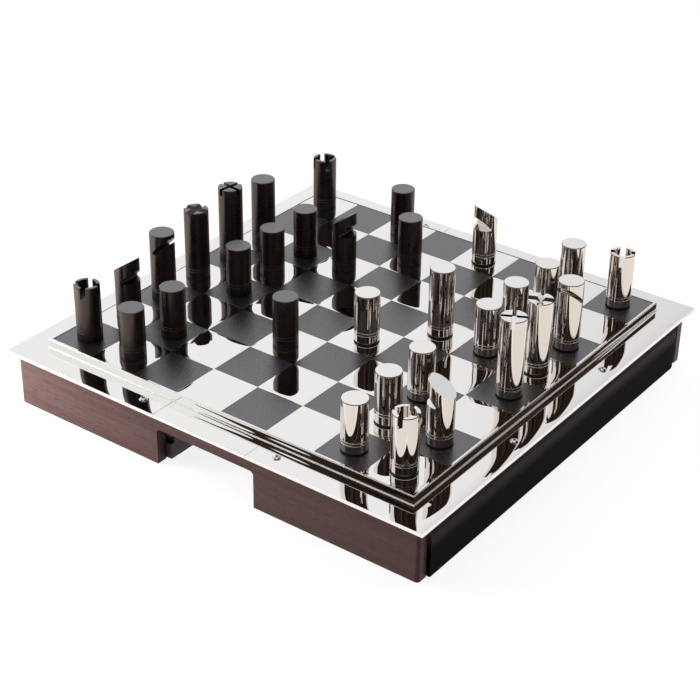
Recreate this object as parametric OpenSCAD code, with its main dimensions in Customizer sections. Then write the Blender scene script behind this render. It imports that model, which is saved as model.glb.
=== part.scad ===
// Chess set on a storage board.
// X runs along the notched front, Y from the front to the back, Z up from the table.
// The origin is the middle of the underside. All sizes are in millimetres.

/* [Playing field] */
// Side of one square
square = 50; // [44:1:58]
// Height of the playing surface above the table
board_h = 63.8; // [60:0.1:72]
// Height of the playing plate above the rim sheets
plate_rise = 8.4; // [6:0.1:10]
// Thickness of the playing plate's top
plate_t = 3; // [2.4:0.1:3.6]
// Thickness of the playing plate's skirt
skirt_t = 3; // [2:0.1:5]
// Width of the lip round the squares
lip_w = 2.5; // [1.5:0.1:6]
// Height of the lip above the squares
lip_h = 0.4; // [0.2:0.1:1]
// Width of the groove between the lip and the squares
groove_w = 0.5; // [0.3:0.1:1]
// Depth of that groove
groove_d = 0.8; // [0.3:0.1:1.5]
// Thickness of a leather square
leather_t = 1.6; // [1:0.1:2]
// Width of the metal line left round each leather square
line_w = 0.4; // [0.2:0.1:1]
// Gap between a leather square and its pocket
leather_gap = 0.15; // [0.1:0.05:0.3]

/* [Rim] */
// Width of the rim outside the playing plate
rim_w = 27; // [22:0.5:40]
// Thickness of the rim sheets
rim_t = 3.6; // [2:0.1:5]
// Width of the middle rim sheet
middle_w = 102.5; // [90:0.5:106]
// Gap at the seams between the rim sheets
seam = 0.2; // [0.1:0.1:0.5]
// Distance of each rim screw from the middle of its side
screw_along = 74.3; // [60:0.1:120]
// Distance of the rim screws from the rim's outer edge
screw_inset = 13.4; // [9:0.1:16]
// Diameter of a rim screw's head
screw_head_d = 8; // [6:0.5:9]
// Height of a rim screw's head
screw_head_h = 2; // [1.5:0.1:2.5]
// Diameter of a rim screw's shank
screw_d = 3.5; // [2.5:0.1:4]
// Length of a rim screw's shank below its head
screw_l = 12; // [8:0.5:13]
// Width across the flats of a rim screw's socket
socket_w = 2.5; // [2:0.1:3]
// Depth of a rim screw's socket
socket_d = 1.2; // [0.8:0.1:1.4]

/* [Carcass] */
// Overhang of the rim past the carcass
overhang = 6.7; // [4:0.1:12]
// Thickness of the front and back walls
wall_t = 11; // [9:0.5:12]
// Radius of the carcass's upright corners
corner_r = 3.5; // [1:0.5:5]
// Thickness of the deck under the rim sheets
deck_t = 10.2; // [9:0.1:12]
// Depth of the deck's tongue in the walls
tongue_d = 5; // [3:0.5:6]
// Thickness of the deck's tongue
tongue_t = 5; // [3:0.5:6]
// Width of the notches in the front and back walls
notch_w = 108; // [106:1:140]
// Height of the notches above the table
notch_h = 36.3; // [30:0.1:38]
// Radius of the notches' upper corners
notch_r = 4; // [2:0.5:8]

/* [Drawers] */
// Distance of each drawer's inner end from the middle
drawer_in = 48.5; // [45:0.5:50]
// How far the drawer fronts stand out of the carcass
front_proud = 3.5; // [2:0.5:5]
// Thickness of the drawer fronts
front_t = 16; // [14:0.5:20]
// Radius of the front's rounded end, seen from above
front_round = 13; // [6:0.5:13]
// Radius of the front's rounded lower corner
front_corner = 10; // [4:0.5:14]
// Thickness of the drawer sides
side_t = 10; // [9:0.5:12]
// Thickness of the drawer's inner end
end_t = 8; // [6:0.5:10]
// Thickness of the drawer bottom
bottom_t = 4; // [3:0.5:6]
// Height of the drawer bottom above the box's lower edge
bottom_up = 2.8; // [2:0.1:4]
// Depth of the grooves that hold the drawer bottom
bottom_groove = 4; // [2:0.5:5]
// Thickness of the felt lining
lining_t = 1.5; // [1:0.1:3]
// Gap between a drawer and the walls beside it
drawer_gap = 0.5; // [0.3:0.1:1]
// Gap between a drawer and the table
drawer_foot = 0.8; // [0.5:0.1:2]
// Gap between a drawer front and the deck
front_top_gap = 0.5; // [0.3:0.1:1.5]
// Gap between the drawer's inner end and the deck
end_top_gap = 2.5; // [1.5:0.1:4]
// Gap between the drawer sides and the deck
side_top_gap = 6; // [4:0.5:10]
// Finger joints along each upright corner of a drawer's inner end
fingers = 5; // [3:2:7]
// Travel of a drawer
travel = 110; // [60:1:120]

/* [Runners and stops] */
// Height of the runners' middle above the table
runner_z = 20; // [17:0.5:22]
// Height of a runner's section
runner_h = 6.6; // [5:0.1:8]
// Distance that a runner stands out of its wall
runner_d = 5; // [4:0.1:5.5]
// Gap between a runner and its groove
runner_gap = 0.3; // [0.2:0.1:0.6]
// Distance of the runners' ends from the drawer fronts and the notches
runner_end = 4; // [2:0.5:10]
// Diameter of a runner screw
runner_screw_d = 3; // [2.5:0.1:3.5]
// Diameter of a drawer stop peg
peg_d = 5; // [4:0.5:8]
// Length of a drawer stop peg below the deck
peg_l = 8; // [6:0.5:10]
// Depth of a drawer stop peg in the deck
peg_in = 6; // [4:0.5:8]
// Distance of the stop pegs from the middle line
peg_y = 120; // [60:5:160]

/* [Chessmen] */
// Diameter of every chessman
man_d = 23.75; // [18:0.25:30]
// Thickness of the pad under a chessman
pad_t = 1.5; // [1:0.1:3]
// Height of a pawn
pawn_h = 49.5; // [42:0.1:56]
// Height of a rook
rook_h = 55.8; // [48:0.1:62]
// Height of a knight's slanted top at its middle
knight_h = 54.5; // [50:0.1:60]
// Height of a bishop
bishop_h = 68.2; // [60:0.1:76]
// Height of a queen
queen_h = 72.2; // [64:0.1:80]
// Height of a king
king_h = 77.4; // [68:0.1:86]
// Height of a chessman's lower ring line
ring_low = 9.5; // [6:0.1:10]
// Height of a chessman's upper ring line
ring_high = 12.3; // [11.5:0.1:16]
// Depth of the ring lines
ring_d = 0.35; // [0.2:0.05:0.6]
// Rounding of a chessman's edges
man_edge = 0.8; // [0.3:0.1:1]

/* [Crowns] */
// Wall of the rook's cup
cup_wall = 3.5; // [2.5:0.1:4.5]
// Depth of the rook's cup
cup_depth = 10.5; // [6:0.1:14]
// Width of the rook's slots
battlement_w = 5.1; // [3:0.1:6]
// Slant of the knight's top
knight_slant = 35; // [24:1:36]
// Height of the knight's lower lip
lip_z = 38.5; // [34:0.1:40]
// Slant of the knight's mouth
mouth_slant = 45; // [36:1:48]
// Radius of the bottom of the knight's mouth
mouth_r = 1.1; // [0.5:0.1:1.6]
// Distance of the bottom of the knight's mouth from its axis
mouth_in = 1.3; // [0:0.1:4]
// Width of the bishop's cut
cut_w = 3.4; // [2.5:0.1:4.5]
// Slant of the bishop's cut
cut_slant = 45; // [36:1:50]
// Depth of the cut's round end below the bishop's top
cut_drop = 18; // [17:0.1:22]
// Width of the king's slots
king_slot_w = 3.8; // [3:0.1:5]
// Depth of the king's slots
king_slot_d = 6.5; // [4:0.1:10]
// Width of the queen's grooves at the top
queen_groove_w = 7; // [5:0.1:9]
// Depth of the queen's grooves
queen_groove_d = 3.6; // [2.5:0.1:5]

/* [Hidden] */
$fn = 96;
rows = 8;
field = rows * square;
plate_half = field / 2 + lip_w;
rim_half = plate_half + rim_w;
carcass_half = rim_half - overhang;
rim_top = board_h - plate_rise;
rim_z = rim_top - rim_t;
plate_under = board_h - plate_t;
wall_in = carcass_half - wall_t;
deck_z = rim_z - deck_t;
screw_ring = rim_half - screw_inset;
front_out = carcass_half + front_proud;
front_in = front_out - front_t;
drawer_half = wall_in - drawer_gap;
side_in = drawer_half - side_t;
side_top = deck_z - side_top_gap;
end_top = deck_z - end_top_gap;
box_h = side_top - drawer_foot;
bottom_z = drawer_foot + bottom_up;
runner_x0 = notch_w / 2 + runner_end;
runner_x1 = front_in - runner_end;
groove_d2 = runner_d + runner_gap - drawer_gap;
peg_x = drawer_in + end_t + travel + peg_d / 2 + runner_gap;
runner_screw_head = runner_screw_d * 2;
man_r = man_d / 2;
walnut = [0.36, 0.26, 0.22];
steel = [0.85, 0.86, 0.88];
hide = [0.30, 0.29, 0.32];
ebony = [0.12, 0.12, 0.13];
felt = [0.16, 0.15, 0.17];
brass = [0.75, 0.6, 0.3];
over = 1;

// A box from one corner to the opposite one.
module block(low, high) {
    translate(low)
        cube(high - low);
}

// ---- Carcass ----

// One long wall with its notch, standing along X with its outer face on the -Y side.
module wall() {
    difference() {
        linear_extrude(rim_z)
            wall_plan();
        translate([0, over - carcass_half + wall_t, 0])
            rotate([90, 0, 0])
                linear_extrude(wall_t + 2 * over)
                    notch_outline();
        block([-carcass_half - over, -wall_in - tongue_d, tongue_z()],
              [carcass_half + over, -wall_in + over, tongue_z() + tongue_t]);
        screw_holes();
        for (side = [-1, 1], x = runner_screw_places())
            translate([side * x, -wall_in - runner_screw_l(), runner_z])
                rotate([-90, 0, 0])
                    cylinder(d = runner_screw_d, h = runner_screw_l() + over);
    }
}

module wall_plan() {
    difference() {
        translate([-carcass_half, -carcass_half])
            square([2 * carcass_half, wall_t]);
        for (side = [0, 1])
            mirror([side, 0])
                translate([carcass_half, -carcass_half])
                    mirror([0, 1])
                        corner_cut(corner_r);
    }
}

// What is taken off a square corner at the origin to round it; the corner points to +X and +Y.
module corner_cut(r) {
    translate([-r, -r])
        difference() {
            square(r + over);
            circle(r);
        }
}

module notch_outline() {
    half = notch_w / 2;
    translate([-half, -over])
        square([notch_w, notch_h - notch_r + over]);
    translate([-half + notch_r, 0])
        square([notch_w - 2 * notch_r, notch_h]);
    for (side = [-1, 1])
        translate([side * (half - notch_r), notch_h - notch_r])
            circle(notch_r);
}

module front_wall() {
    color(walnut)
        wall();
}

module back_wall() {
    color(walnut)
        mirror([0, 1, 0])
            wall();
}

function tongue_z() = deck_z + (deck_t - tongue_t) / 2;

module deck() {
    color(walnut)
        difference() {
            union() {
                block([-carcass_half, -wall_in, deck_z], [carcass_half, wall_in, rim_z]);
                block([-carcass_half, -wall_in - tongue_d, tongue_z()],
                      [carcass_half, wall_in + tongue_d, tongue_z() + tongue_t]);
            }
            peg_places()
                translate([0, 0, deck_z - over])
                    cylinder(d = peg_d, h = peg_in + over);
            screw_holes();
        }
}

// ---- Rim and playing plate ----

module screw_places() {
    for (turn = [0, 90, 180, 270], side = [-1, 1])
        rotate(turn)
            translate([side * screw_along, -screw_ring, 0])
                children();
}

// The holes of the rim screws, down to the ends of their shanks.
module screw_holes() {
    screw_places()
        translate([0, 0, rim_top - screw_l])
            cylinder(d = screw_d, h = screw_l + over);
}

module rim_sheet(x0, x1) {
    color(steel)
        difference() {
            block([x0, -rim_half, rim_z], [x1, rim_half, rim_top]);
            screw_holes();
        }
}

module rim_sheet_left() {
    rim_sheet(-rim_half, -middle_w / 2 - seam);
}

module rim_sheet_middle() {
    rim_sheet(-middle_w / 2, middle_w / 2);
}

module rim_sheet_right() {
    rim_sheet(middle_w / 2 + seam, rim_half);
}

// A button head with a hexagon socket, and its shank, standing on the rim.
module rim_screw() {
    head_r = screw_head_d / 2;
    dome_r = (head_r * head_r + screw_head_h * screw_head_h) / (2 * screw_head_h);
    difference() {
        union() {
            intersection() {
                translate([0, 0, screw_head_h - dome_r])
                    sphere(dome_r);
                cylinder(r = head_r, h = screw_head_h);
            }
            translate([0, 0, -screw_l])
                cylinder(d = screw_d, h = screw_l);
        }
        translate([0, 0, screw_head_h - socket_d])
            cylinder(d = socket_w / cos(30), h = socket_d + over, $fn = 6);
    }
}

module rim_screws() {
    color(steel)
        screw_places()
            translate([0, 0, rim_top])
                rim_screw();
}

module core_panel() {
    inside = plate_half - skirt_t;
    color("tan")
        block([-inside, -inside, rim_top], [inside, inside, plate_under]);
}

// Calls its children at the middle of every leather square.
module leather_places() {
    for (i = [0 : rows - 1], j = [0 : rows - 1])
        if ((i + j) % 2 == 0)
            translate([place(i), place(j), 0])
                children();
}

function place(index) = (index - (rows - 1) / 2) * square;

module playing_plate() {
    half = field / 2;
    inside = plate_half - skirt_t;
    pocket = square - line_w;
    color(steel)
        difference() {
            block([-plate_half, -plate_half, rim_top], [plate_half, plate_half, board_h + lip_h]);
            block([-inside, -inside, rim_top - over], [inside, inside, plate_under]);
            block([-half, -half, board_h], [half, half, board_h + lip_h + over]);
            difference() {
                block([-half, -half, board_h - groove_d], [half, half, board_h + over]);
                block([-half + groove_w, -half + groove_w, board_h - groove_d - over],
                      [half - groove_w, half - groove_w, board_h + 2 * over]);
            }
            leather_places()
                block([-pocket / 2, -pocket / 2, board_h - leather_t],
                      [pocket / 2, pocket / 2, board_h + over]);
        }
}

module leather_squares() {
    half = (square - line_w) / 2 - leather_gap;
    color(hide)
        leather_places()
            block([-half, -half, board_h - leather_t], [half, half, board_h]);
}

// ---- Runners and stops ----

function runner_screw_l() = wall_t - 2;

function runner_screw_places() = [runner_x0 + 2 * runner_h, runner_x1 - 2 * runner_h];

module runner() {
    difference() {
        block([runner_x0, wall_in - runner_d, runner_z - runner_h / 2],
              [runner_x1, wall_in, runner_z + runner_h / 2]);
        for (x = runner_screw_places())
            translate([x, wall_in, runner_z])
                rotate([90, 0, 0])
                    runner_screw_hole();
    }
}

// The hole for a countersunk screw, from the wall's face to the runner's own.
module runner_screw_hole() {
    sink = runner_screw_d / 2;
    translate([0, 0, -over])
        cylinder(d = runner_screw_d, h = runner_d + 2 * over);
    translate([0, 0, runner_d - sink])
        cylinder(d1 = runner_screw_d, d2 = runner_screw_head, h = sink);
    translate([0, 0, runner_d])
        cylinder(d = runner_screw_head, h = over);
}

module runner_screw() {
    sink = runner_screw_d / 2;
    translate([0, 0, -runner_screw_l()])
        cylinder(d = runner_screw_d, h = runner_screw_l() + runner_d);
    translate([0, 0, runner_d - sink])
        cylinder(d1 = runner_screw_d, d2 = runner_screw_head, h = sink);
}

module four_corners() {
    for (x = [0, 1], y = [0, 1])
        mirror([x, 0, 0])
            mirror([0, y, 0])
                children();
}

module drawer_runners() {
    color(walnut)
        four_corners()
            runner();
}

module runner_screws() {
    color(brass)
        four_corners()
            for (x = runner_screw_places())
                translate([x, wall_in, runner_z])
                    rotate([90, 0, 0])
                        runner_screw();
}

module peg_places() {
    for (x = [-peg_x, peg_x], y = [-peg_y, peg_y])
        translate([x, y, 0])
            children();
}

module drawer_stop_pegs() {
    color(walnut)
        peg_places()
            translate([0, 0, deck_z - peg_l])
                cylinder(d = peg_d, h = peg_l + peg_in);
}

// ---- Drawers, drawn for the right side ----

// A front with one square end and one end that is rounded for the fingers.
module drawer_front() {
    top = deck_z - front_top_gap;
    color(walnut)
        difference() {
            intersection() {
                linear_extrude(top)
                    front_plan();
                translate([front_out + over, 0, 0])
                    rotate([0, -90, 0])
                        linear_extrude(front_t + 2 * over)
                            front_outline(top);
            }
            bottom_slot();
        }
}

module front_plan() {
    difference() {
        translate([front_in, -drawer_half])
            square([front_t, 2 * drawer_half]);
        translate([front_out, drawer_half])
            corner_cut(front_round);
    }
}

// The front's outline, with its height along X and its length along Y.
module front_outline(top) {
    difference() {
        translate([drawer_foot, -drawer_half])
            square([top - drawer_foot, 2 * drawer_half]);
        translate([drawer_foot, drawer_half])
            mirror([1, 0])
                corner_cut(front_corner);
    }
}

// The groove that holds the drawer's bottom, cut out of the front, sides and end.
module bottom_slot() {
    block([drawer_in + end_t - bottom_groove, -side_in - bottom_groove, bottom_z],
          [front_in + bottom_groove, side_in + bottom_groove, bottom_z + bottom_t]);
}

// Every second finger of an upright corner at the inner end.
module finger_row(first) {
    step = box_h / fingers;
    for (i = [first : 2 : fingers - 1])
        block([drawer_in, side_in, drawer_foot + i * step],
              [drawer_in + end_t, drawer_half, drawer_foot + (i + 1) * step]);
}

module drawer_side() {
    color(walnut)
        difference() {
            union() {
                block([drawer_in + end_t, side_in, drawer_foot], [front_in, drawer_half, side_top]);
                finger_row(0);
            }
            block([drawer_in - over, drawer_half - groove_d2, runner_z - runner_h / 2 - runner_gap],
                  [front_in + over, drawer_half + over, runner_z + runner_h / 2 + runner_gap]);
            bottom_slot();
        }
}

module drawer_end() {
    color(walnut)
        difference() {
            union() {
                block([drawer_in, -side_in, drawer_foot], [drawer_in + end_t, side_in, end_top]);
                for (y = [0, 1])
                    mirror([0, y, 0])
                        difference() {
                            finger_row(1);
                            block([drawer_in - over, drawer_half - groove_d2,
                                   runner_z - runner_h / 2 - runner_gap],
                                  [drawer_in + end_t + over, drawer_half + over,
                                   runner_z + runner_h / 2 + runner_gap]);
                        }
            }
            bottom_slot();
        }
}

module drawer_bottom() {
    color("tan")
        bottom_slot();
}

module drawer_lining() {
    z = bottom_z + bottom_t;
    color(felt)
        block([drawer_in + end_t, -side_in, z], [front_in, side_in, z + lining_t]);
}

module right_drawer_front() {
    drawer_front();
}

module right_drawer_side_a() {
    mirror([0, 1, 0])
        drawer_side();
}

module right_drawer_side_b() {
    drawer_side();
}

module right_drawer_end() {
    drawer_end();
}

module right_drawer_bottom() {
    drawer_bottom();
}

module right_drawer_lining() {
    drawer_lining();
}

module left_drawer_front() {
    rotate(180)
        drawer_front();
}

module left_drawer_side_a() {
    rotate(180)
        drawer_side();
}

module left_drawer_side_b() {
    rotate(180)
        mirror([0, 1, 0])
            drawer_side();
}

module left_drawer_end() {
    rotate(180)
        drawer_end();
}

module left_drawer_bottom() {
    rotate(180)
        drawer_bottom();
}

module left_drawer_lining() {
    rotate(180)
        drawer_lining();
}

// ---- Chessmen, each drawn on its own axis with its face towards +X ----

// Sets a man on a square: its column along X, its row along Y, how far it stands off
// the middle of the square, and the way that it faces.
module stand(column, row, off = [0, 0], facing = 0) {
    translate([place(column) + off[0], place(row) + off[1], board_h])
        rotate(facing)
            children();
}

// The turned body that every man starts from, with its two ring lines.
module turned(h) {
    rotate_extrude() {
        polygon([
            [0, pad_t],
            [man_r - man_edge, pad_t],
            [man_r, pad_t + man_edge],
            each ring_line(ring_low),
            each ring_line(ring_high),
            [man_r, h - man_edge],
            [man_r - man_edge, h],
            [0, h],
        ]);
        for (z = [pad_t + man_edge, h - man_edge])
            translate([man_r - man_edge, z])
                circle(man_edge);
    }
}

function ring_line(z) = [[man_r, z - ring_d], [man_r - ring_d, z], [man_r, z + ring_d]];

module pad() {
    color("black")
        cylinder(r = man_r, h = pad_t);
}

module pawn(tone) {
    pad();
    color(tone)
        turned(pawn_h);
}

module rook(tone) {
    pad();
    color(tone)
        difference() {
            turned(rook_h);
            translate([0, 0, rook_h - cup_depth])
                cylinder(r = man_r - cup_wall, h = cup_depth + over);
            cross(battlement_w, rook_h, cup_depth);
        }
}

// Two crossed slots across a man's top.
module cross(width, h, depth) {
    for (turn = [0, 90])
        rotate(turn)
            block([-man_r - over, -width / 2, h - depth], [man_r + over, width / 2, h + over]);
}

module knight(tone) {
    high = knight_h + man_r * tan(knight_slant);
    pad();
    color(tone)
        difference() {
            turned(high + over);
            translate([0, 0, knight_h])
                rotate([0, -knight_slant, 0])
                    block([-2 * man_r, -2 * man_r, 0], [2 * man_r, 2 * man_r, 2 * man_r]);
            rotate([90, 0, 0])
                linear_extrude(2 * man_r + 2 * over, center = true)
                    mouth();
        }
}

// The open mouth from the side: a level lip below and a slanted one above, meeting in a radius.
module mouth() {
    reach = man_r + over;
    centre = mouth_in + mouth_r;
    root = centre - mouth_r / tan(mouth_slant / 2);
    touch = root + (centre - root) * cos(mouth_slant);
    polygon([
        [centre, lip_z + mouth_r],
        [centre, lip_z],
        [reach, lip_z],
        [reach, lip_z + (reach - root) * tan(mouth_slant)],
        [touch, lip_z + (touch - root) * tan(mouth_slant)],
    ]);
    translate([centre, lip_z + mouth_r])
        circle(mouth_r);
}

module bishop(tone) {
    pad();
    color(tone)
        difference() {
            turned(bishop_h);
            translate([0, 0, bishop_h - cut_drop])
                rotate([90, -cut_slant, 0])
                    linear_extrude(2 * man_r + 2 * over, center = true) {
                        translate([0, -cut_w / 2])
                            square([2 * man_r, cut_w]);
                        circle(d = cut_w);
                    }
        }
}

module queen(tone) {
    pad();
    color(tone)
        difference() {
            turned(queen_h);
            for (turn = [0, 90])
                rotate(turn)
                    translate([0, 0, queen_h])
                        rotate([90, 0, 0])
                            linear_extrude(2 * man_r + 2 * over, center = true)
                                groove_section();
        }
}

// A vee that is queen_groove_w wide at the level of the top.
module groove_section() {
    half = queen_groove_w / 2;
    rise = over;
    wide = half * (1 + rise / queen_groove_d);
    polygon([[0, -queen_groove_d], [wide, rise], [-wide, rise]]);
}

module king(tone) {
    pad();
    color(tone)
        difference() {
            turned(king_h);
            cross(king_slot_w, king_h, king_slot_d);
        }
}

// ---- The men as they stand ----

module black_rook_1() {
    stand(0, 0, [0, -2], 25)
        rook(ebony);
}

module black_knight_1() {
    stand(0, 1)
        knight(ebony);
}

module black_bishop_1() {
    stand(0, 2, [0, -1.5])
        bishop(ebony);
}

module black_queen() {
    stand(0, 3, [-2, -0.5], 9)
        queen(ebony);
}

module black_king() {
    stand(0, 4, [-1.5, -0.5], -8)
        king(ebony);
}

module black_bishop_2() {
    stand(0, 5, [-0.5, -1.5], 125)
        bishop(ebony);
}

module black_knight_2() {
    stand(2, 5)
        knight(ebony);
}

module black_rook_2() {
    stand(0, 7, [-0.4, -0.2], -36)
        rook(ebony);
}

module black_pawn_1() {
    stand(1, 0, [3, -1.5])
        pawn(ebony);
}

module black_pawn_2() {
    stand(1, 1, [5.5, 0])
        pawn(ebony);
}

module black_pawn_3() {
    stand(3, 2, [-2.5, -1.5])
        pawn(ebony);
}

module black_pawn_4() {
    stand(1, 3, [0, -0.5])
        pawn(ebony);
}

module black_pawn_5() {
    stand(1, 4, [1.5, -1.5])
        pawn(ebony);
}

module black_pawn_6() {
    stand(1, 5, [0.5, 1.5])
        pawn(ebony);
}

module black_pawn_7() {
    stand(3, 6, [-6.5, 0])
        pawn(ebony);
}

module black_pawn_8() {
    stand(2, 7, [-0.5, -0.5])
        pawn(ebony);
}

module silver_rook_1() {
    stand(7, 0, [-0.5, -1], 9)
        rook(steel);
}

module silver_knight_1() {
    stand(7, 1, [-1, 0.5], 196)
        knight(steel);
}

module silver_king() {
    stand(7, 3, [4, 0], 28)
        king(steel);
}

module silver_queen() {
    stand(7, 4, [1, -1], 22)
        queen(steel);
}

module silver_bishop_1() {
    stand(7, 5, [1, 2], 272)
        bishop(steel);
}

module silver_bishop_2() {
    stand(5, 4, [-3, 1.6], 130)
        bishop(steel);
}

module silver_knight_2() {
    stand(4, 7, [0, -2.5], 250)
        knight(steel);
}

module silver_rook_2() {
    stand(7, 7, [-0.7, 1.4], 26)
        rook(steel);
}

module silver_pawn_1() {
    stand(6, 0, [-1, -1])
        pawn(steel);
}

module silver_pawn_2() {
    stand(6, 1, [-4.5, 1])
        pawn(steel);
}

module silver_pawn_3() {
    stand(6, 2, [-4.5, 0])
        pawn(steel);
}

module silver_pawn_4() {
    stand(4, 3, [1, 0])
        pawn(steel);
}

module silver_pawn_5() {
    stand(6, 4, [-1, -1])
        pawn(steel);
}

module silver_pawn_6() {
    stand(6, 5, [-3.5, -0.5])
        pawn(steel);
}

module silver_pawn_7() {
    stand(6, 6, [-0.5, -0.5])
        pawn(steel);
}

module silver_pawn_8() {
    stand(6, 7, [-2, 0])
        pawn(steel);
}

front_wall();
back_wall();
deck();
rim_sheet_left();
rim_sheet_middle();
rim_sheet_right();
rim_screws();
core_panel();
playing_plate();
leather_squares();
drawer_runners();
runner_screws();
drawer_stop_pegs();
left_drawer_front();
left_drawer_side_a();
left_drawer_side_b();
left_drawer_end();
left_drawer_bottom();
left_drawer_lining();
right_drawer_front();
right_drawer_side_a();
right_drawer_side_b();
right_drawer_end();
right_drawer_bottom();
right_drawer_lining();
black_rook_1();
black_knight_1();
black_bishop_1();
black_queen();
black_king();
black_bishop_2();
black_knight_2();
black_rook_2();
black_pawn_1();
black_pawn_2();
black_pawn_3();
black_pawn_4();
black_pawn_5();
black_pawn_6();
black_pawn_7();
black_pawn_8();
silver_rook_1();
silver_knight_1();
silver_king();
silver_queen();
silver_bishop_1();
silver_bishop_2();
silver_knight_2();
silver_rook_2();
silver_pawn_1();
silver_pawn_2();
silver_pawn_3();
silver_pawn_4();
silver_pawn_5();
silver_pawn_6();
silver_pawn_7();
silver_pawn_8();
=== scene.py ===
"""The looks of the chess set: its board, its two drawers and its thirty-two men."""

import math

import bmesh
import bpy
from mathutils import Matrix, Vector


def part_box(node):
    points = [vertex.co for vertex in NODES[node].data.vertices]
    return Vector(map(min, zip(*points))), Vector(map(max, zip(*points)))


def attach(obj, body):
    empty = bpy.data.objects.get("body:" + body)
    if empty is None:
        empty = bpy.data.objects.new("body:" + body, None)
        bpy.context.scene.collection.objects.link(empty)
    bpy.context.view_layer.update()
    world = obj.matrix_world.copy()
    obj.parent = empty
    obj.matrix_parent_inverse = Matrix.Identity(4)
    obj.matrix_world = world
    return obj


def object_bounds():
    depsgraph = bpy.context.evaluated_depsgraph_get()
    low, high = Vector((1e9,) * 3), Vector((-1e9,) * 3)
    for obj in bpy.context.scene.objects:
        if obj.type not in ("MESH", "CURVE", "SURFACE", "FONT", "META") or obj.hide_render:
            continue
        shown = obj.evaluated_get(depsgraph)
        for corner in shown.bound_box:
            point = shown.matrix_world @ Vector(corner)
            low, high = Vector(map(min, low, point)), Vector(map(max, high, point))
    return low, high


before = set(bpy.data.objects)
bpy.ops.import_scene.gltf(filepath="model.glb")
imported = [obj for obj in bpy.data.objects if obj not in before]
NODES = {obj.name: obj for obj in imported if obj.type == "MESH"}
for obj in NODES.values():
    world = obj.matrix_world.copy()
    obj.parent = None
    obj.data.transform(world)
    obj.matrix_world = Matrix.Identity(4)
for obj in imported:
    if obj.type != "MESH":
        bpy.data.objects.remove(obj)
cad_low, cad_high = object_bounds()
MM = 0.001
# Points that lie this near to a plane count as lying in it
CLOSE = 0.01 * MM
ROWS = 8
CORNERS = ((-1, -1), (1, -1), (1, 1), (-1, 1))
# A man's pad, the rounding of its edges and the heights that its ring lines lie between,
# as the CAD has them
PAD = 1.5 * MM
MAN_EDGE = 0.8 * MM
RINGS = (9 * MM, 13 * MM)
# How far a man's faces may reach past those heights
SLACK = 0.02 * MM


# ---- Camera ----

AZIMUTH = math.radians(36.284)
ELEVATION = math.radians(30.336)
ROLL = math.radians(0.864)
DISTANCE = 1.554
TARGET = Vector((0.0251, -0.0493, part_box("leather_squares")[1].z))
# In millimetres
LENS = 88.4
SENSOR = 36.0


def make_camera():
    """The camera looks at TARGET from DISTANCE away, and is rolled a little to one side."""
    back = Vector((math.sin(AZIMUTH) * math.cos(ELEVATION),
                   -math.cos(AZIMUTH) * math.cos(ELEVATION),
                   math.sin(ELEVATION)))
    level = Vector((math.cos(AZIMUTH), math.sin(AZIMUTH), 0))
    above = back.cross(level)
    right = math.cos(ROLL) * level + math.sin(ROLL) * above
    up = math.cos(ROLL) * above - math.sin(ROLL) * level
    turn = Matrix((right, up, back)).transposed().to_4x4()
    data = bpy.data.cameras.new("camera")
    data.lens = LENS
    data.sensor_width = SENSOR
    data.clip_start = 0.05
    camera = bpy.data.objects.new("camera", data)
    camera.matrix_world = Matrix.Translation(TARGET + DISTANCE * back) @ turn
    bpy.context.scene.collection.objects.link(camera)
    bpy.context.scene.camera = camera


# ---- Node helpers ----

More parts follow.
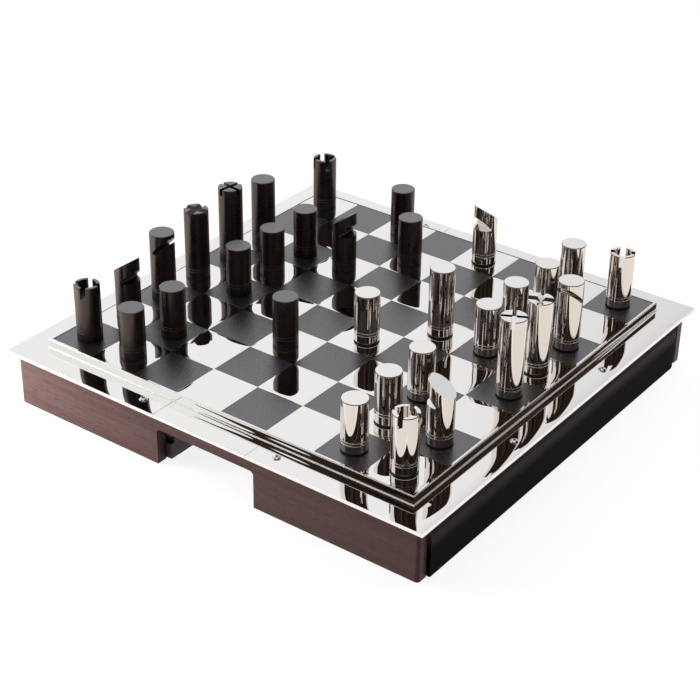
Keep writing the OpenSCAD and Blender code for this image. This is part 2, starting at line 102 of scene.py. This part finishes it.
class Tree:
    """A short way to write a node tree."""

    def __init__(self, owner):
        owner.use_nodes = True
        self.tree = owner.node_tree
        self.tree.nodes.clear()

    def add(self, kind, settings=None, **inputs):
        """A node with its settings and inputs. i0 is its first input, i1 its second."""
        node = self.tree.nodes.new(kind)
        for key, value in (settings or {}).items():
            setattr(node, key, value)
        for key, value in inputs.items():
            self.put(node, key.replace("_", " "), value)
        return node

    def put(self, node, name, value):
        """Links a socket to a node's input, or sets the input to a value."""
        socket = node.inputs[int(name[1:])] if name[1:].isdigit() else node.inputs[name]
        if isinstance(value, bpy.types.NodeSocket):
            self.tree.links.new(value, socket)
        else:
            socket.default_value = value

    def math(self, operation, a, b=0.0, clamp=False):
        node = self.add("ShaderNodeMath", {"operation": operation, "use_clamp": clamp},
                        i0=a, i1=b)
        return node.outputs[0]

    def mapped(self, value, low, high, to_low=0.0, to_high=1.0):
        """Takes a value smoothly from one range to another, and holds it there."""
        node = self.add("ShaderNodeMapRange", {"interpolation_type": "SMOOTHSTEP"},
                        Value=value)
        for name, number in (("From Min", low), ("From Max", high),
                             ("To Min", to_low), ("To Max", to_high)):
            self.put(node, name, number)
        return node.outputs["Result"]

    def swept(self, angle, low, high, to_low=0.0, to_high=1.0):
        """mapped() for an angle, whose range is given in degrees."""
        return self.mapped(angle, math.radians(low), math.radians(high), to_low, to_high)

    def mixed(self, factor, a, b, blend="MIX"):
        """Mixes two colours, which are sockets or have three numbers each."""
        a, b = [colour if isinstance(colour, bpy.types.NodeSocket) else (*colour, 1)
                for colour in (a, b)]
        node = self.add("ShaderNodeMix", {"data_type": "RGBA", "blend_type": blend},
                        i0=factor, i6=a, i7=b)
        return node.outputs[2]

    def place(self, scale=(1, 1, 1), turn=(0, 0, 0)):
        """The place on the object, in metres times the scale."""
        coords = self.add("ShaderNodeTexCoord").outputs["Object"]
        node = self.add("ShaderNodeMapping", Vector=coords, Scale=scale, Rotation=turn)
        return node.outputs["Vector"]

    def axes(self):
        """The X, Y and Z of the place on the object."""
        return self.add("ShaderNodeSeparateXYZ", Vector=self.place()).outputs

    def noise(self, where, scale, detail=3.0, rough=0.5, distortion=0.0):
        node = self.add("ShaderNodeTexNoise", Vector=where, Scale=scale, Detail=detail,
                        Roughness=rough, Distortion=distortion)
        return node.outputs["Fac"]

    def upward(self, low, high):
        """How far a face looks up: 0 up to the first height of its normal, 1 from the second."""
        return self.mapped(self.facing()["Z"], low, high)

    def facing(self):
        """The X, Y and Z of a face's normal."""
        normal = self.add("ShaderNodeNewGeometry").outputs["True Normal"]
        return self.add("ShaderNodeSeparateXYZ", Vector=normal).outputs

    def ramp(self, factor, stops):
        """A row of colours. Each stop is a factor and its colour."""
        node = self.add("ShaderNodeValToRGB", Fac=factor)
        bar = node.color_ramp
        while len(bar.elements) < len(stops):
            bar.elements.new(0.5)
        for element, (at, colour) in zip(bar.elements, stops):
            element.position = at
            element.color = (*colour, 1.0)
        return node.outputs["Color"]

    def border(self, inward, width, slope):
        """A relief that falls off over a width next to a border, down to a slope."""
        rest = self.math("SUBTRACT", 1.0, self.math("DIVIDE", inward, width), clamp=True)
        return self.math("MULTIPLY", self.math("POWER", rest, 3.0), -slope * width / 3)

    def bump(self, height, distance, strength=1.0, normal=None):
        """A relief with that distance, in metres, between heights 0 and 1."""
        node = self.add("ShaderNodeBump", Height=height, Distance=distance,
                        Strength=strength)
        if normal is not None:
            self.put(node, "Normal", normal)
        return node.outputs["Normal"]


def material(name, paint, **finish):
    """A Principled material. paint(tree) gives the linked inputs, finish the plain ones."""
    made = bpy.data.materials.new(name)
    tree = Tree(made)
    linked = paint(tree)
    shader = tree.add("ShaderNodeBsdfPrincipled")
    for key, value in {**finish, **linked}.items():
        tree.put(shader, key.replace("_", " "), value)
    tree.add("ShaderNodeOutputMaterial", Surface=shader.outputs[0])
    return made


# ---- Materials ----

def rim_bend(t):
    """The rim sheets' outer edges turn down slightly, more so at the drawers' sides."""
    width = 14 * MM
    slopes = {"X": 0.14, "Y": 0.03}
    axes = t.axes()
    sides = [t.border(t.math("SUBTRACT", cad_high.x, t.math("ABSOLUTE", axes[axis])), width, slope)
             for axis, slope in slopes.items()]
    return t.math("MINIMUM", *sides)


def square_bend(t):
    """Each polished square of the plate is a little lower along its four sides."""
    width, slope = 6 * MM, 0.06
    low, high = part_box("leather_squares")
    half = (high.x - low.x) / 2
    side = 2 * half / ROWS
    axes = t.axes()
    near = [t.math("PINGPONG", t.math("ADD", axes[axis], half), side / 2)
            for axis in ("X", "Y")]
    away = t.math("MAXIMUM", t.math("ABSOLUTE", axes["X"]), t.math("ABSOLUTE", axes["Y"]))
    inside = t.math("MULTIPLY", t.math("LESS_THAN", away, half), t.upward(0.5, 0.9))
    return t.math("MULTIPLY", t.border(t.math("MINIMUM", *near), width, slope), inside)


def skirt_lean(t):
    """The plate's folded skirt isn't quite flat: long streaks of it lean to one side."""
    most = 0.1
    look = t.facing()
    streak = t.mapped(t.noise(t.place((9, 9, 300)), 1.0, 1.0), 0.3, 0.7, 0.0, most)
    front = t.math("MULTIPLY", t.mapped(look["Y"], -0.5, -0.9), streak)
    right = t.math("MULTIPLY", t.mapped(look["X"], 0.5, 0.9), streak)
    return t.add("ShaderNodeCombineXYZ", X=t.math("MULTIPLY", front, -1.0), Y=right).outputs[0]


def polished_paint(light, dark, smooth, dull, side=(1, 1, 1), bend=None, lean=None):
    """Polished metal: faint smears in its gloss and hairlines that only raking light finds.
    smooth and dull are the limits of its roughness, and side tints its upright faces apart from
    the tops, a painted change to their reflections.
    bend(tree) gives a large soft relief in metres, and lean(tree) a tilt of the faces."""
    def paint(t):
        where = t.place()
        smear = t.noise(where, 9.0, 4.0, 0.55, 0.6)
        hair = t.noise(t.place((6, 900, 900), (0, 0, 0.5)), 1.0, 2.0)
        across = t.noise(t.place((900, 5, 900), (0, 0, 0.2)), 1.0, 2.0)
        lines = t.math("MAXIMUM", t.mapped(hair, 0.66, 0.74), t.mapped(across, 0.67, 0.75))
        rough = t.math("ADD", t.mapped(smear, 0.35, 0.7, smooth, dull),
                       t.math("MULTIPLY", lines, 0.03))
        wave = t.bump(t.noise(where, 14.0, 1.0, 0.4), 0.00003)
        if bend:
            wave = t.bump(bend(t), 1.0, normal=wave)
        if lean:
            tilted = t.add("ShaderNodeVectorMath", {"operation": "ADD"}, i0=wave, i1=lean(t))
            wave = t.add("ShaderNodeVectorMath", {"operation": "NORMALIZE"},
                         i0=tilted.outputs[0]).outputs[0]
        # Painted reflection: upright faces are tinted apart from the tops
        tint = t.mixed(t.upward(0.3, 0.9), side, (1, 1, 1))
        tone = t.mixed(smear, light, dark)
        return {"Base_Color": t.mixed(1.0, tone, tint, "MULTIPLY"),
                "Roughness": rough, "Normal": wave}
    return paint


def paint_black_glint(t):
    """A painted glint: the lighter matte finish of the upward flank of a ring line in a black man.
    """
    glint_mottle = t.noise(t.place(), 800.0, 3.0)
    return {"Base_Color": t.ramp(glint_mottle, [(0.3, (0.05, 0.04, 0.035)), (0.7, (0.09, 0.072, 0.062))]),
            "Roughness": t.mapped(glint_mottle, 0.3, 0.7, 0.35, 0.45),
            "Normal": t.bump(glint_mottle, 0.00001)}


def black_metal_paint(t):
    """Blackened metal, finely turned. Its upright sides reflect darker and warmer than its tops, a
    painted shade in its specular tint.
    """
    where = t.place()
    cloud = t.noise(where, 60.0, 4.0, 0.6)
    fine = t.noise(where, 2600.0, 2.0, 0.5)
    turned = t.noise(t.place((30, 30, 5200)), 1.0, 1.0)
    height = t.math("ADD", t.math("MULTIPLY", fine, 0.5), turned)
    return {"Base_Color": t.ramp(cloud, [(0.3, (0.0022, 0.002, 0.0021)),
                                         (0.7, (0.0045, 0.004, 0.0041))]),
            "Roughness": t.mapped(cloud, 0.3, 0.7, 0.26, 0.32),
            # Painted shade: the sides' reflections are dimmed and warmed, the tops' kept bright
            # and cool
            "Specular_Tint": t.mixed(t.upward(0.2, 0.9), (0.4, 0.3, 0.265), (0.95, 0.935, 1)),
            "Normal": t.bump(height, 0.000006)}


def rubber_paint(t):
    """The pads under the men."""
    where = t.place()
    grain = t.noise(where, 1500.0, 3.0, 0.6)
    return {"Base_Color": t.ramp(grain, [(0.3, (0.003, 0.0027, 0.0025)),
                                         (0.7, (0.007, 0.006, 0.0055))]),
            "Roughness": t.mapped(grain, 0.3, 0.7, 0.4, 0.5),
            "Normal": t.bump(grain, 0.00002)}


def leather_paint(t):
    """Smooth black leather with small pebbled cells."""
    where = t.place()
    cells = t.add("ShaderNodeTexVoronoi", {"feature": "DISTANCE_TO_EDGE"},
                  Vector=where, Scale=1100.0).outputs["Distance"]
    grain = t.noise(where, 900.0, 4.0, 0.6)
    cloud = t.noise(where, 22.0, 3.0, 0.5)
    height = t.math("ADD", t.mapped(cells, 0.0, 0.25), t.math("MULTIPLY", grain, 0.6))
    tone = t.math("ADD", t.math("MULTIPLY", cloud, 0.7), t.math("MULTIPLY", grain, 0.3))
    return {"Base_Color": t.ramp(tone, [(0.3, (0.010, 0.009, 0.011)),
                                        (0.7, (0.018, 0.016, 0.020))]),
            "Roughness": t.mapped(grain, 0.3, 0.7, 0.26, 0.34),
            "Normal": t.bump(height, 0.00003, 0.6)}


def painted_tunnel_shade(t):
    """1 on the faces inside the tunnel from notch to notch, which are painted dark as shade."""
    beyond = 9 * MM
    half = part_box("right_drawer_end")[0].x + beyond
    across = t.math("ABSOLUTE", t.axes()["X"])
    aside = t.mapped(t.math("ABSOLUTE", t.facing()["Y"]), 0.5, 0.7, 1.0, 0.0)
    return t.math("MULTIPLY", t.math("LESS_THAN", across, half), aside)


def wood_paint(tones, along, gloss, pore=1.0, painted_top_light=None):
    """Fine open-pored wood with its grain along one axis.
    faded is a painted light: the lighter colour that a drawer front turns to at its upper edge."""
    def paint(t):
        stretch = {"x": (2.6, 60, 60), "y": (60, 2.6, 60)}[along]
        fine = {"x": (110, 1400, 1400), "y": (1400, 110, 1400)}[along]
        figure = t.noise(t.place(stretch), 1.0, 6.0, 0.62, 1.6)
        bands = t.noise(t.place(stretch), 4.2, 5.0, 0.6, 0.8)
        pores = t.mapped(t.noise(t.place(fine), 1.0, 2.0), 0.52, 0.64)
        tone = t.math("ADD", t.math("MULTIPLY", figure, 0.55),
                      t.math("MULTIPLY", bands, 0.45))
        body = t.ramp(tone, [(0.34, tones[0]), (0.5, tones[1]), (0.66, tones[2])])
        if painted_top_light:
            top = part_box("right_drawer_front")[1].z
            # Painted light: the drawer front turns lighter towards its top edge
            painted_light_mask = t.mapped(t.axes()["Z"], top - 16 * MM, top - 1 * MM)
            body = t.mixed(painted_light_mask, body, painted_top_light)
        dark = t.mixed(1.0, body, (0.45, 0.42, 0.4), "MULTIPLY")
        colour = t.mixed(t.math("MULTIPLY", pores, 0.6 * pore), body, dark)
        # Painted shade: the faces inside the tunnel are darkened to near black
        colour = t.mixed(t.math("MULTIPLY", painted_tunnel_shade(t), 0.9), colour, (0.006, 0.004, 0.003))
        height = t.math("SUBTRACT", t.math("MULTIPLY", tone, 0.3), pores)
        return {"Base_Color": colour,
                "Roughness": t.mapped(tone, 0.3, 0.7, gloss, gloss + 0.12),
                "Normal": t.bump(height, 0.00006, 0.7)}
    return paint


def felt_paint(t):
    """Fuzzy dark felt."""
    where = t.place()
    fuzz = t.noise(where, 1400.0, 5.0, 0.75, 1.2)
    cloud = t.noise(where, 30.0, 3.0)
    tone = t.math("ADD", t.math("MULTIPLY", fuzz, 0.6), t.math("MULTIPLY", cloud, 0.4))
    return {"Base_Color": t.ramp(tone, [(0.35, (0.016, 0.015, 0.017)),
                                        (0.65, (0.042, 0.039, 0.043))]),
            "Normal": t.bump(fuzz, 0.0003, 0.8)}


def turned_metal_paint(light, dark):
    """The plain bright metal of a screw."""
    def paint(t):
        where = t.place()
        cloud = t.noise(where, 300.0, 3.0)
        return {"Base_Color": t.mixed(cloud, light, dark),
                "Roughness": t.mapped(cloud, 0.3, 0.7, 0.1, 0.2),
                "Normal": t.bump(cloud, 0.00001)}
    return paint


def make_materials():
    """Each finish by its name. The woods' tones run from dark to light."""
    walnut = [(0.105, 0.052, 0.048), (0.155, 0.083, 0.077), (0.2, 0.115, 0.105)]
    ebony = [(0.003, 0.0022, 0.0022), (0.005, 0.0036, 0.0036), (0.008, 0.0056, 0.0056)]
    inside = [(0.06, 0.034, 0.024), (0.1, 0.06, 0.044), (0.15, 0.095, 0.07)]
    board = [(0.26, 0.17, 0.1), (0.36, 0.25, 0.15), (0.44, 0.32, 0.2)]
    # The painted light at the top of the drawer fronts
    painted_top_light = (0.11, 0.092, 0.097)
    light, dark = (0.84, 0.84, 0.835), (0.82, 0.815, 0.81)
    # The plate's side tint paints its skirt brighter than its top
    plate = polished_paint(light, dark, 0.01, 0.022, side=(1.15, 1.13, 1.09),
                           bend=square_bend, lean=skirt_lean)
    rim = polished_paint(light, dark, 0.01, 0.022, bend=rim_bend)
    # warm is a painted tint for upright faces: it makes the silver men's side reflections darker
    # and warmer than their tops'
    warm = (0.96, 0.9, 0.84)
    nickel = polished_paint((0.83, 0.82, 0.815), (0.81, 0.8, 0.79), 0.012, 0.028, side=warm)
    # Painted shade: a dark nickel for the silver men's top rounding and the upper flanks of their
    # ring lines
    shade = polished_paint((0.3, 0.26, 0.23), (0.24, 0.2, 0.18), 0.05, 0.1, side=warm)
    # Painted highlight: a near-white matte finish for the plate's edges and foot and the silver
    # men's upward ring flanks
    edge = polished_paint((0.97, 0.95, 0.93), (0.94, 0.92, 0.9), 0.25, 0.35)
    return {
        "plate": material("plate", plate, Metallic=1.0),
        "rim": material("rim", rim, Metallic=1.0),
        "plate_painted_highlight": material("plate_painted_highlight", edge),
        "nickel": material("nickel", nickel, Metallic=1.0),
        "nickel_painted_shade": material("nickel_painted_shade", shade, Metallic=1.0),
        "black_metal": material("black_metal", black_metal_paint, IOR=2.5),
        "black_painted_glint": material("black_painted_glint", paint_black_glint),
        "rubber": material("rubber", rubber_paint, IOR=1.45),
        "leather": material("leather", leather_paint, IOR=2.35,
                            Specular_Tint=(0.94, 0.925, 1, 1)),
        "walnut": material("walnut", wood_paint(walnut, "x", 0.46), Specular_IOR_Level=0.25),
        "walnut_across": material("walnut_across", wood_paint(walnut, "y", 0.46),
                                  Specular_IOR_Level=0.25),
        "ebony": material("ebony", wood_paint(ebony, "y", 0.55, pore=0.6, painted_top_light=painted_top_light),
                          Specular_IOR_Level=0.017),
        "drawer_wood": material("drawer_wood", wood_paint(inside, "x", 0.5)),
        "drawer_wood_across": material("drawer_wood_across", wood_paint(inside, "y", 0.5)),
        "core_board": material("core_board", wood_paint(board, "x", 0.6)),
        "felt": material("felt", felt_paint, Roughness=0.95, Sheen_Weight=0.4),
        "steel": material("steel", turned_metal_paint((0.8, 0.79, 0.77), (0.7, 0.69, 0.68)),
                          Metallic=1.0),
        "brass": material("brass", turned_metal_paint((0.8, 0.58, 0.25), (0.66, 0.46, 0.19)),
                          Metallic=1.0),
    }


# ---- The nodes' finish ----

# The material of each node, and the width of the soft edge that it gets, in millimetres.
# Men go by their colour alone, and the drawers' pieces without their side.
FINISHES = {
    "black": ("black_metal", 0.15),
    "silver": ("nickel", 0.15),
    "front_wall": ("walnut", 0.5),
    "back_wall": ("walnut", 0.5),
    "deck": ("walnut_across", 0.4),
    "rim_sheet_left": ("rim", 0.2),
    "rim_sheet_middle": ("rim", 0.2),
    "rim_sheet_right": ("rim", 0.2),
    "rim_screws": ("steel", 0.12),
    "core_panel": ("core_board", 0.3),
    "playing_plate": ("plate", 0.22),
    "leather_squares": ("leather", 0.25),
    "drawer_runners": ("drawer_wood", 0.3),
    "runner_screws": ("brass", 0.12),
    "drawer_stop_pegs": ("drawer_wood", 0.3),
    "drawer_front": ("ebony", 0.3),
    "drawer_side_a": ("drawer_wood", 0.3),
    "drawer_side_b": ("drawer_wood", 0.3),
    "drawer_end": ("drawer_wood_across", 0.3),
    "drawer_bottom": ("core_board", 0.2),
    "drawer_lining": ("felt", 0.3),
}
# A man's four finishes, in their order, and their materials for each metal. The third is a painted
# shade on a silver man and plain metal on a black one, and the fourth a painted glint on both.
METAL, RUBBER, EDGE, PAINTED_GLINT = range(4)
MAN_FINISHES = {
    "black_metal": ("black_metal", "rubber", "black_metal", "black_painted_glint"),
    "nickel": ("nickel", "rubber", "nickel_painted_shade", "plate_painted_highlight"),
}
# What a rounded edge takes: the finish of the faces beside it, or the plate's second finish, a
# near-white painted highlight
KEEP = -1
PLATE_PAINTED_HIGHLIGHT = 1


def finish_of(name):
    """A node's own line in FINISHES."""
    if name.startswith(("black_", "silver_")):
        name = name.split("_")[0]
    return FINISHES[name.removeprefix("left_").removeprefix("right_")]


def box_corners(piece):
    """The points of a piece that lie on the corners of its own box."""
    low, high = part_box(piece.name)
    return [v.index for v in piece.data.vertices
            if all(min(abs(v.co[i] - low[i]), abs(v.co[i] - high[i])) < CLOSE
                   for i in range(3))]


def slanted_rim(piece):
    """The points of a knight's slanted top."""
    low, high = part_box(piece.name)
    middle = (low.z + high.z) / 2
    mesh = piece.data
    found = set()
    for face in mesh.polygons:
        if 0.5 < face.normal.z < 0.97:
            if min(mesh.vertices[i].co.z for i in face.vertices) > middle:
                found.update(face.vertices)
    return sorted(found)


def outer_rim(piece):
    """The points round the highest outer edge of a piece."""
    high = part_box(piece.name)[1]
    return [v.index for v in piece.data.vertices if v.co.z > high.z - CLOSE
            and max(abs(v.co.x), abs(v.co.y)) > high.x - CLOSE]


def soften(piece, width, folds=()):
    """Joins the imported faces again, rounds the edges and keeps flat faces flat.
    folds are the edges between given points that are rounded otherwise, each with its
    points, its width in millimetres and the index of its finish, or KEEP."""
    for face in piece.data.polygons:
        face.use_smooth = True
    weld = piece.modifiers.new("weld", "WELD")
    weld.merge_threshold = 0.002 * MM
    flat = piece.modifiers.new("flat_faces", "DECIMATE")
    flat.decimate_type = "DISSOLVE"
    flat.angle_limit = math.radians(0.4)
    flat.delimit = {"MATERIAL"}
    for number, (points, wide, finish) in enumerate(folds):
        name = f"fold_{number}"
        piece.vertex_groups.new(name=name).add(points, 1.0, "REPLACE")
        fold = piece.modifiers.new(name, "BEVEL")
        fold.width = wide * MM
        fold.segments = 4
        fold.limit_method = "VGROUP"
        fold.vertex_group = name
        fold.material = finish
    bevel = piece.modifiers.new("soft_edges", "BEVEL")
    bevel.width = width * MM
    bevel.segments = 3
    bevel.limit_method = "ANGLE"
    bevel.angle_limit = math.radians(28)
    bevel.use_clamp_overlap = True
    normals = piece.modifiers.new("even_normals", "WEIGHTED_NORMAL")
    normals.mode = "FACE_AREA"
    normals.keep_sharp = False
    normals.weight = 60


def man_faces(piece, finishes):
    """Gives a man's faces its four finishes: RUBBER to the pad, EDGE to the rounding round
    its top and to the upper sides of its two ring lines, PAINTED_GLINT to their lower sides, which
    look up, and METAL to the rest."""
    low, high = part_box(piece.name)
    pad_top = low.z + PAD + SLACK
    top_edge = high.z - MAN_EDGE - SLACK
    rings_low, rings_high = [low.z + height for height in RINGS]
    mesh = piece.data
    mesh.materials.clear()
    for finish in finishes:
        mesh.materials.append(finish)
    for face in mesh.polygons:
        heights = [mesh.vertices[i].co.z for i in face.vertices]
        face.material_index = RUBBER if max(heights) < pad_top else METAL
        # The rounding round the top: a painted shade on a silver man, plain metal on a black one
        if min(heights) > top_edge and 0.1 < face.normal.z < 0.95:
            face.material_index = EDGE
        if rings_low < min(heights) and max(heights) < rings_high:
            # The ring lines' flanks: painted shade above on a silver man, a painted glint below on
            # every man
            if abs(face.normal.z) > 0.5:
                face.material_index = PAINTED_GLINT if face.normal.z > 0 else EDGE


def folds_of(piece):
    """The edges of a node that are rounded more than its other edges, for soften()."""
    if piece.name == "playing_plate":
        return [(box_corners(piece), 0.8, KEEP), (outer_rim(piece), 0.35, PLATE_PAINTED_HIGHLIGHT)]
    if "knight" in piece.name:
        return [(slanted_rim(piece), 0.7, KEEP)]
    return []


def dress(materials):
    """Gives every node its finish and its soft edges."""
    for name, piece in NODES.items():
        kind, width = finish_of(name)
        if kind in MAN_FINISHES:
            man_faces(piece, [materials[part] for part in MAN_FINISHES[kind]])
        else:
            piece.data.materials.clear()
            piece.data.materials.append(materials[kind])
        soften(piece, width, folds_of(piece))
    plate = NODES["playing_plate"]
    plate.data.materials.append(materials["plate_painted_highlight"])
    # The plate's soft edges take its painted highlight
    plate.modifiers["soft_edges"].material = PLATE_PAINTED_HIGHLIGHT


def plate_foot(finish):
    """The small hollow fillet where the playing plate stands on the rim sheets, which takes the
    painted highlight given as its finish.
    """
    low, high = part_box("playing_plate")
    middle = (low + high) / 2
    half = (high.x - low.x) / 2
    radius, steps = 1.0 * MM, 6
    profile = [(0.0, 0.0)]
    for step in range(steps + 1):
        turn = math.pi / 2 * step / steps
        profile.append((radius * (1 - math.sin(turn)), radius * (1 - math.cos(turn))))
    made = bmesh.new()
    rings = []
    for x, y in CORNERS:
        rings.append([made.verts.new((middle.x + x * (half + out), middle.y + y * (half + out),
                                      low.z + up)) for out, up in profile])
    count = len(profile)
    for here, there in zip(rings, rings[1:] + rings[:1]):
        for i in range(count):
            j = (i + 1) % count
            made.faces.new((here[i], here[j], there[j], there[i]))
    bmesh.ops.recalc_face_normals(made, faces=made.faces[:])
    mesh = bpy.data.meshes.new("plate_foot")
    made.to_mesh(mesh)
    made.free()
    mesh.materials.append(finish)
    piece = bpy.data.objects.new("plate_foot", mesh)
    bpy.context.scene.collection.objects.link(piece)
    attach(piece, "board")


# ---- Floor, world and lights ----

# The direction of the white wall's middle, in degrees from the X axis
WALL_MIDDLE = 149
# Each lamp's name, place, aim, side in metres, power in watts and colour
LAMPS = [
    ("key", (-0.6, -0.62, 0.25), (-0.1, -0.2, 0.03), 0.35, 2.45, (1, 0.97, 0.95)),
    ("left", (-0.42, -0.38, 0.09), (-0.25, -0.23, 0.03), 0.1, 1.5, (0.9, 1, 1)),
    ("right", (0.86, 0.7, 0.42), (0.23, 0.1, 0.04), 0.2, 2.5, (0.9, 0.94, 1)),
]


def make_floor():
    """A pale paper floor. Mirrors see a painted glow in it, brighter near the board than farther
    away.
    """
    half = 5.0
    mesh = bpy.data.meshes.new("floor")
    mesh.from_pydata([(half * x, half * y, 0) for x, y in CORNERS], [], [(0, 1, 2, 3)])
    floor = bpy.data.objects.new("floor", mesh)
    floor.location.z = -0.2 * MM
    bpy.context.scene.collection.objects.link(floor)
    paper = bpy.data.materials.new("floor_paper")
    t = Tree(paper)
    rays = t.add("ShaderNodeLightPath").outputs
    seen = t.math("MAXIMUM", t.math("MAXIMUM", rays["Is Camera Ray"], rays["Is Glossy Ray"]),
                  rays["Is Transmission Ray"])
    tooth = t.noise(t.place(), 700.0, 3.0)
    diffuse = t.add("ShaderNodeBsdfDiffuse",
                    Color=t.mixed(tooth, (0.32, 0.32, 0.32), (0.35, 0.35, 0.35)))
    axes = t.axes()
    away = t.math("MAXIMUM", t.math("ABSOLUTE", axes["X"]), t.math("ABSOLUTE", axes["Y"]))
    # Painted glow that only mirrors see, brighter near the board
    far = t.mapped(away, cad_high.x + 55 * MM, cad_high.x + 85 * MM)
    mirrored = t.mixed(far, (0.98, 0.94, 0.92), (0.77, 0.75, 0.71))
    tint = t.mixed(rays["Is Camera Ray"], mirrored, (0.86, 0.86, 0.86))
    glow = t.add("ShaderNodeEmission", Color=tint, Strength=seen)
    both = t.add("ShaderNodeAddShader", i0=diffuse.outputs[0], i1=glow.outputs[0])
    t.add("ShaderNodeOutputMaterial", Surface=both.outputs[0])
    mesh.materials.append(paper)


def make_world():
    """White behind and at the left, and a dark warm studio in front and at the right, with
    a low bright wall at its far end that only mirrors find. Angles are in degrees."""
    world = bpy.data.worlds.new("studio")
    bpy.context.scene.world = world
    t = Tree(world)
    rays = t.add("ShaderNodeLightPath").outputs
    way = t.add("ShaderNodeTexCoord").outputs["Generated"]
    turned = t.add("ShaderNodeVectorRotate", {"rotation_type": "Z_AXIS"},
                   Vector=way, Angle=-math.radians(WALL_MIDDLE)).outputs[0]
    axes = t.add("ShaderNodeSeparateXYZ", Vector=turned).outputs
    aside = t.math("ARCTAN2", axes["Y"], axes["X"])
    height = t.math("ARCSINE", axes["Z"])
    wall = t.math("MULTIPLY", t.swept(t.math("ABSOLUTE", aside), 76.8, 75.6),
                  t.swept(height, 60, 48))
    ceiling = t.swept(height, 61, 66, 0.0, 0.85)
    far_wall = t.math("MULTIPLY", t.swept(height, 22, 17, 0.0, 0.8), rays["Is Glossy Ray"])
    white = t.math("MAXIMUM", wall, t.math("MAXIMUM", ceiling, far_wall))
    bright = t.mixed(t.swept(aside, -42, -20, 0.8, 1.0), (0, 0, 0), (1, 0.995, 0.99))
    spread = t.add("ShaderNodeMapping", Vector=way, Scale=(7, 7, 0.6)).outputs["Vector"]
    shape = t.mapped(t.noise(spread, 1.0, 2.0), 0.35, 0.68)
    dim = t.mixed(shape, (0.008, 0.005, 0.004), (0.05, 0.033, 0.025))
    room = t.mixed(white, dim, bright)
    seen = t.mixed(rays["Is Camera Ray"], room, (1, 1, 1))
    shade = t.add("ShaderNodeBackground", Color=seen, Strength=1.0)
    t.add("ShaderNodeOutputWorld", Surface=shade.outputs[0])


def make_lamp(name, at, to, side, watts, colour):
    """A soft square lamp, which mirrors don't show."""
    data = bpy.data.lights.new(name, "AREA")
    data.size = side
    data.energy = watts
    data.color = colour
    lamp = bpy.data.objects.new(name, data)
    lamp.location = at
    lamp.rotation_euler = (Vector(to) - Vector(at)).to_track_quat("-Z", "Y").to_euler()
    lamp.visible_glossy = False
    bpy.context.scene.collection.objects.link(lamp)


def make_studio():
    """The floor, the world and the lamps, shown without any correction of their colours."""
    make_floor()
    make_world()
    for lamp in LAMPS:
        make_lamp(*lamp)
    bpy.context.scene.view_settings.view_transform = "Standard"


make_camera()
make_studio()
finishes = make_materials()
dress(finishes)
plate_foot(finishes["plate_painted_highlight"])
